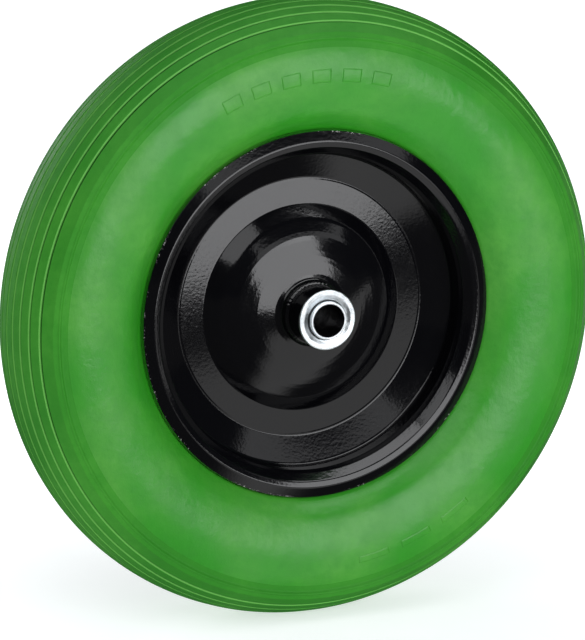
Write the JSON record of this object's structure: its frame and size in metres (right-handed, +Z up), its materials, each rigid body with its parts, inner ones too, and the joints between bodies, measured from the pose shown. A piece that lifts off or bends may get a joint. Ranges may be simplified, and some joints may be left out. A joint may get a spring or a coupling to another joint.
{
  "type": "wheelbarrow wheel",
  "caption": "Flat-free wheelbarrow wheel: solid foam tyre with ribbed tread on a split pressed-steel rim, with flanged roller bearings in its hub.",
  "frame": {"origin": "the wheel's centre: on its axis, midway between the two rim flanges", "axes": "+Y along the axle, from the outer face to the back face; +Z up; +X to the right seen from the outer face"},
  "size_m": [0.3898, 0.0924, 0.3898],
  "materials": {
    "tyre_foam": "satin green polyurethane foam skin",
    "rim_paint": "glossy black powder coat with a light orange peel",
    "zinc_plate": "bright zinc plate on pressed steel",
    "bright_steel": "ground bearing steel with a film of grease",
    "cage_nylon": "moulded dark nylon"
  },
  "bodies": {
    "axle_side": {"inner_ring_front": "zinc_plate", "inner_ring_back": "zinc_plate", "spacer_sleeve": "bright_steel"},
    "wheel": {"tyre": "tyre_foam", "rim_half_front": "rim_paint", "rim_half_back": "rim_paint", "hub_tube": "rim_paint", "weld_bead_front": "rim_paint", "weld_bead_back": "rim_paint", "bearing_cup_front": "zinc_plate", "bearing_cup_back": "zinc_plate"},
    "cage_front": {"roller_cage_front": "cage_nylon", "roller_front_01": "bright_steel", "roller_front_02": "bright_steel", "roller_front_03": "bright_steel", "roller_front_04": "bright_steel", "roller_front_05": "bright_steel", "roller_front_06": "bright_steel", "roller_front_07": "bright_steel", "roller_front_08": "bright_steel", "roller_front_09": "bright_steel", "roller_front_10": "bright_steel", "roller_front_11": "bright_steel", "roller_front_12": "bright_steel"},
    "cage_back": {"roller_cage_back": "cage_nylon", "roller_back_01": "bright_steel", "roller_back_02": "bright_steel", "roller_back_03": "bright_steel", "roller_back_04": "bright_steel", "roller_back_05": "bright_steel", "roller_back_06": "bright_steel", "roller_back_07": "bright_steel", "roller_back_08": "bright_steel", "roller_back_09": "bright_steel", "roller_back_10": "bright_steel", "roller_back_11": "bright_steel", "roller_back_12": "bright_steel"}
  },
  "joints": [
    {"name": "wheel_spin", "type": "hinge", "parent": "axle_side", "child": "wheel", "pos_m": [0, 0, 0], "axis": [0, 1, 0], "continuous": true},
    {"name": "cage_front_orbit", "type": "hinge", "parent": "axle_side", "child": "cage_front", "pos_m": [0, -0.0342, 0], "axis": [0, 1, 0], "continuous": true},
    {"name": "cage_back_orbit", "type": "hinge", "parent": "axle_side", "child": "cage_back", "pos_m": [0, 0.0342, 0], "axis": [0, 1, 0], "continuous": true}
  ],
  "couplings": [
    {"joint": "cage_front_orbit", "follows": "wheel_spin", "ratio": 0.5506},
    {"joint": "cage_back_orbit", "follows": "wheel_spin", "ratio": 0.5506}
  ]
}
